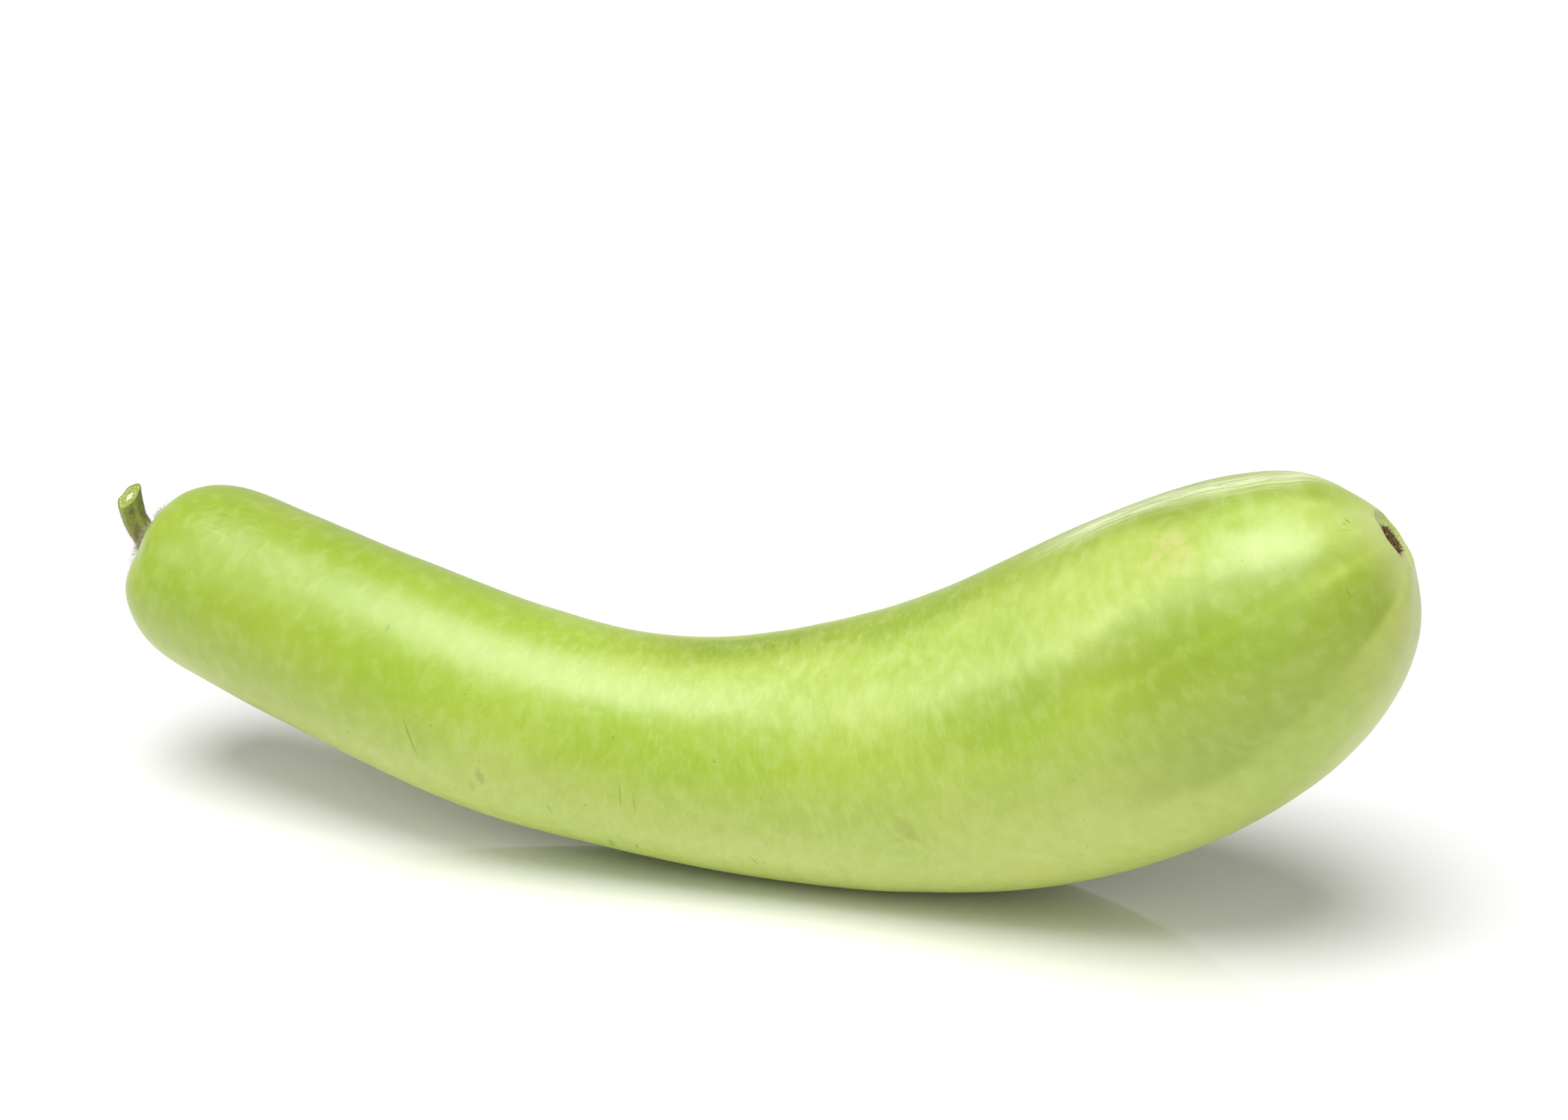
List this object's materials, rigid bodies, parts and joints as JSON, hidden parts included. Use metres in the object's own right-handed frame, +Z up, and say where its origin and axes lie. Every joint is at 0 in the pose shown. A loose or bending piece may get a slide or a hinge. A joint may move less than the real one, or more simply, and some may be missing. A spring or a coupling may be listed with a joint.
{
  "type": "bottle gourd",
  "caption": "Long pale green gourd, bent along its length, with a slim neck, a fat rounded end, a cut stem and a dry blossom scar; lies on a small flat spot.",
  "frame": {"origin": "on the resting surface, under the middle of the whole gourd", "axes": "+Z up from the resting surface; +X along the gourd from the stem end towards the fat blossom end; -Y is the side that the pictured view looks from"},
  "size_m": [0.3252, 0.1448, 0.1135],
  "materials": {
    "skin": "satin waxy yellow-green skin with pale flecks and fine scuffs",
    "stem": "matt olive green, ribbed and hairy, with a moist pale cut",
    "dried_blossom": "dry brown fibres"
  },
  "bodies": {
    "root": {"fruit": "skin", "stem": "stem", "dried_blossom": "dried_blossom"}
  },
  "joints": []
}
